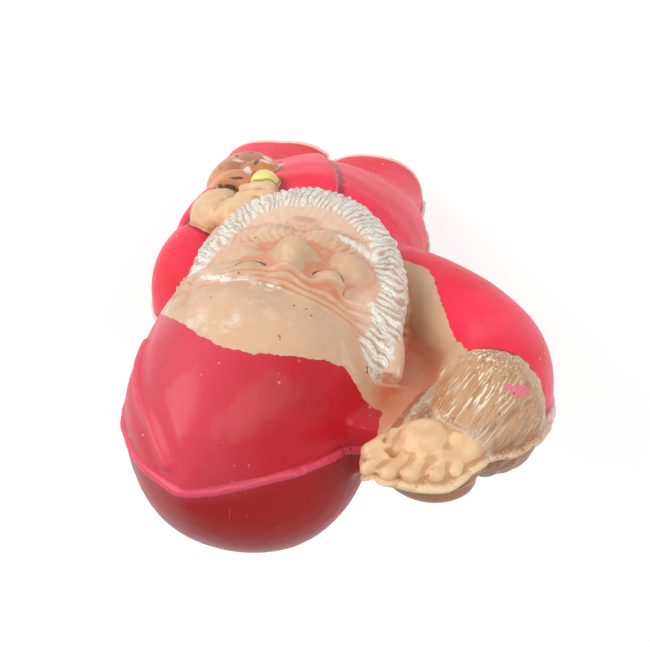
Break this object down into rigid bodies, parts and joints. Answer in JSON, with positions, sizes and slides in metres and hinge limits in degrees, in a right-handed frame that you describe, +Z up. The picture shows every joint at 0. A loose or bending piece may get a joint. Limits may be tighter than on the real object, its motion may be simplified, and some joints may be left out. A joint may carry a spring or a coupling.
{
  "type": "father christmas figurine",
  "caption": "Hollow blown celluloid Father Christmas figurine on flat soles, one arm raised, a small toy held in the other, with domed hat, combed beard and mould seam.",
  "frame": {"origin": "under the middle of the figure's box, on the plane its soles stand on", "axes": "+Z up through the hat, -Y out of the figure's front, +X to its own left hand side"},
  "size_m": [0.0874, 0.0582, 0.1243],
  "materials": {
    "celluloid": "glossy airbrushed celluloid"
  },
  "bodies": {
    "root": {"figure": "celluloid"}
  },
  "joints": []
}
